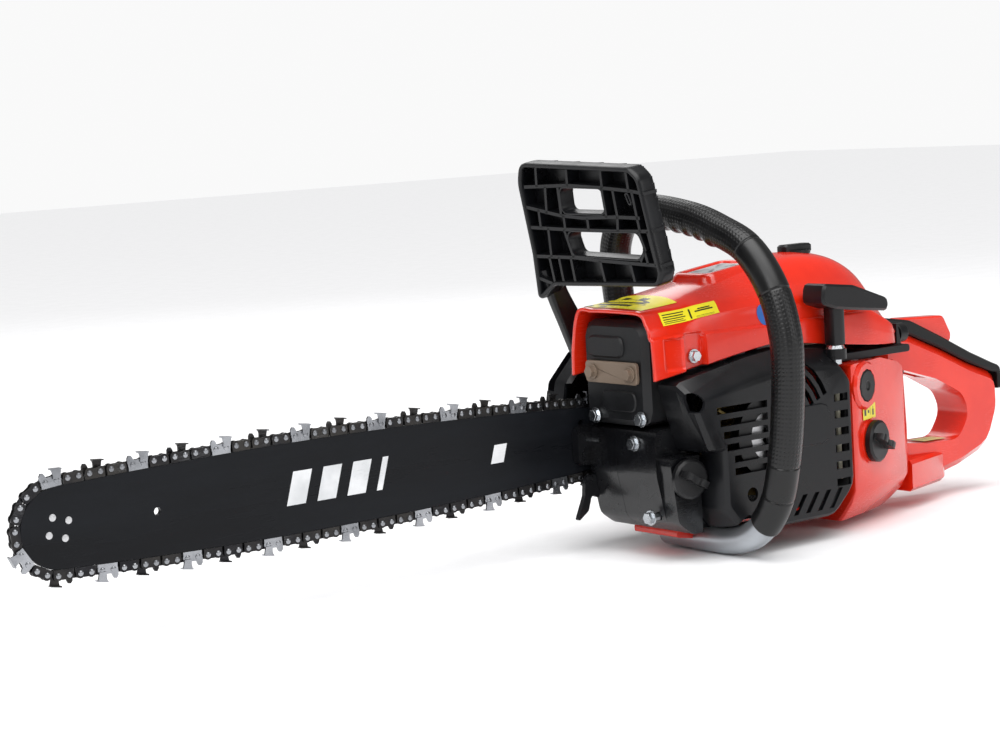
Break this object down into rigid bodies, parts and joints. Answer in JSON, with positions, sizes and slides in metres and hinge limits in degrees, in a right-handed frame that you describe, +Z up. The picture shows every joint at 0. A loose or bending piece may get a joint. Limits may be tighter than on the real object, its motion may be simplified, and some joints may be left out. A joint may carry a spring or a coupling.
{
  "type": "chainsaw",
  "caption": "Petrol chainsaw: guide bar with chain, closed engine body, wrap-round front handle, hand guard, pull starter and rear loop handle with trigger.",
  "frame": {"origin": "centre of the flat foot's underside, straight below the crankshaft's axis, in the plane between handle and cylinder", "axes": "+X from the bar's nose towards the rear handle, -Y towards the pull-starter side, +Y towards the bar and clutch cover, +Z up"},
  "size_m": [0.9154, 0.2244, 0.3099],
  "materials": {
    "bar_black": "satin black lacquer on steel",
    "chain_steel": "blued and polished steel",
    "machined_steel": "machined steel with oil film",
    "case_black": "semi-gloss black paint on die-cast alloy",
    "flywheel_brass": "yellow passivated casting",
    "cast_alloy": "cast aluminium",
    "white_ceramic": "glazed ceramic and plated shell",
    "black_rubber": "satin moulded rubber",
    "muffler_black": "matt heat-proof black",
    "heat_browned_steel": "browned steel",
    "zinc": "bright zinc plate",
    "filter_felt": "flocked felt",
    "red_shell": "glossy orange-red moulded nylon",
    "black_trim": "fine-grained black moulding",
    "black_shell": "satin black moulding",
    "grey_plate": "grey printed plate, blank",
    "starter_cord": "braided nylon",
    "bare_tube": "drawn and brushed tube"
  },
  "bodies": {
    "root": {"guide_bar": "bar_black", "saw_chain": "chain_steel", "crankcase_starter_side": "case_black", "crankcase_bar_side": "case_black", "bearing_starter_side": "machined_steel", "bearing_bar_side": "machined_steel", "cylinder": "cast_alloy", "piston": "cast_alloy", "spark_plug": "white_ceramic", "spark_plug_boot": "black_rubber", "ignition_coil": "black_trim", "muffler": "muffler_black", "muffler_bracket": "heat_browned_steel", "bracket_bolt_1": "heat_browned_steel", "bracket_bolt_2": "heat_browned_steel", "muffler_bolt_1": "zinc", "muffler_bolt_2": "zinc", "crankcase_bolt_1": "zinc", "crankcase_bolt_2": "zinc", "intake_boot": "black_rubber", "carburettor": "cast_alloy", "air_filter": "filter_felt", "fuel_tank": "red_shell", "av_plug": "black_rubber", "rear_handle": "red_shell", "rear_grip": "black_rubber", "air_box": "black_shell", "top_cover": "red_shell", "cover_badge": "grey_plate", "cover_screw": "zinc", "starter_cover": "black_shell", "rope_guide": "zinc", "front_handle_tube": "bare_tube", "front_handle_grip": "black_rubber", "clutch_cover": "black_shell", "bar_stud_1": "zinc", "bar_nut_1": "zinc", "bar_stud_2": "zinc", "bar_nut_2": "zinc", "brake_band": "machined_steel", "spike_bumper": "case_black", "oil_pump": "cast_alloy"},
    "crank": {"crankshaft": "machined_steel", "flywheel": "flywheel_brass", "clutch_shoes": "machined_steel"},
    "drum": {"clutch_drum": "machined_steel", "rim_sprocket": "machined_steel"},
    "nose": {"nose_sprocket": "machined_steel"},
    "reel": {"starter_reel": "black_trim", "recoil_spring": "machined_steel"},
    "pull": {"starter_grip": "black_trim", "starter_rope": "starter_cord"},
    "guard": {"hand_guard": "black_shell"},
    "trigger": {"throttle_trigger": "black_trim"},
    "lockout": {"throttle_lockout": "red_shell"},
    "choke": {"choke_knob": "black_trim"},
    "switch": {"ignition_switch": "red_shell"},
    "fuel_stopper": {"fuel_cap": "black_trim"},
    "oil_stopper": {"oil_cap": "black_trim"},
    "cover_latch": {"cover_knob": "black_trim"}
  },
  "joints": [
    {"name": "crank_spin", "type": "hinge", "parent": "root", "child": "crank", "pos_m": [0, 0, 0.0905], "axis": [0, 1, 0], "continuous": true},
    {"name": "drum_spin", "type": "hinge", "parent": "root", "child": "drum", "pos_m": [0, 0.05, 0.0905], "axis": [0, 1, 0], "continuous": true},
    {"name": "nose_spin", "type": "hinge", "parent": "root", "child": "nose", "pos_m": [-0.545, 0.05, 0.0905], "axis": [0, 1, 0], "continuous": true},
    {"name": "starter_pull", "type": "slide", "parent": "root", "child": "pull", "axis": [0, 0, 1], "range_m": [0, 0.1], "stiffness_N_per_m": 60},
    {"name": "reel_spin", "type": "hinge", "parent": "root", "child": "reel", "pos_m": [0, -0.062, 0.0905], "axis": [0, -1, 0], "range_deg": [0, 191]},
    {"name": "guard_swing", "type": "hinge", "parent": "root", "child": "guard", "pos_m": [-0.058, 0.078, 0.1455], "axis": [0, -1, 0], "range_deg": [0, 22]},
    {"name": "trigger_pull", "type": "hinge", "parent": "root", "child": "trigger", "pos_m": [0.222, 0, 0.1235], "axis": [0, -1, 0], "range_deg": [0, 18], "stiffness_Nm_per_rad": 0.2},
    {"name": "lockout_press", "type": "hinge", "parent": "root", "child": "lockout", "pos_m": [0.208, 0, 0.1435], "axis": [0, 1, 0], "range_deg": [0, 9], "stiffness_Nm_per_rad": 0.3},
    {"name": "choke_slide", "type": "slide", "parent": "root", "child": "choke", "axis": [1, 0, 0], "range_m": [0, 0.012]},
    {"name": "switch_rock", "type": "hinge", "parent": "root", "child": "switch", "pos_m": [0.18, 0.027, 0.1485], "axis": [0, 1, 0], "range_deg": [0, 10]},
    {"name": "fuel_cap_turn", "type": "hinge", "parent": "root", "child": "fuel_stopper", "pos_m": [0.122, -0.0577, 0.0695], "axis": [0.2764, -0.9611, 0], "range_deg": [0, 540]},
    {"name": "oil_cap_turn", "type": "hinge", "parent": "root", "child": "oil_stopper", "pos_m": [-0.071, -0.048, 0.0655], "axis": [-0.1197, -0.9928, 0], "range_deg": [0, 540]},
    {"name": "cover_latch_turn", "type": "hinge", "parent": "root", "child": "cover_latch", "pos_m": [0.103, 0.002, 0.2205], "axis": [0, 0, 1], "range_deg": [0, 90]}
  ],
  "couplings": [
    {"joint": "nose_spin", "follows": "drum_spin", "ratio": 0.58333},
    {"joint": "reel_spin", "follows": "starter_pull", "rad_per_m": 33.3}
  ]
}
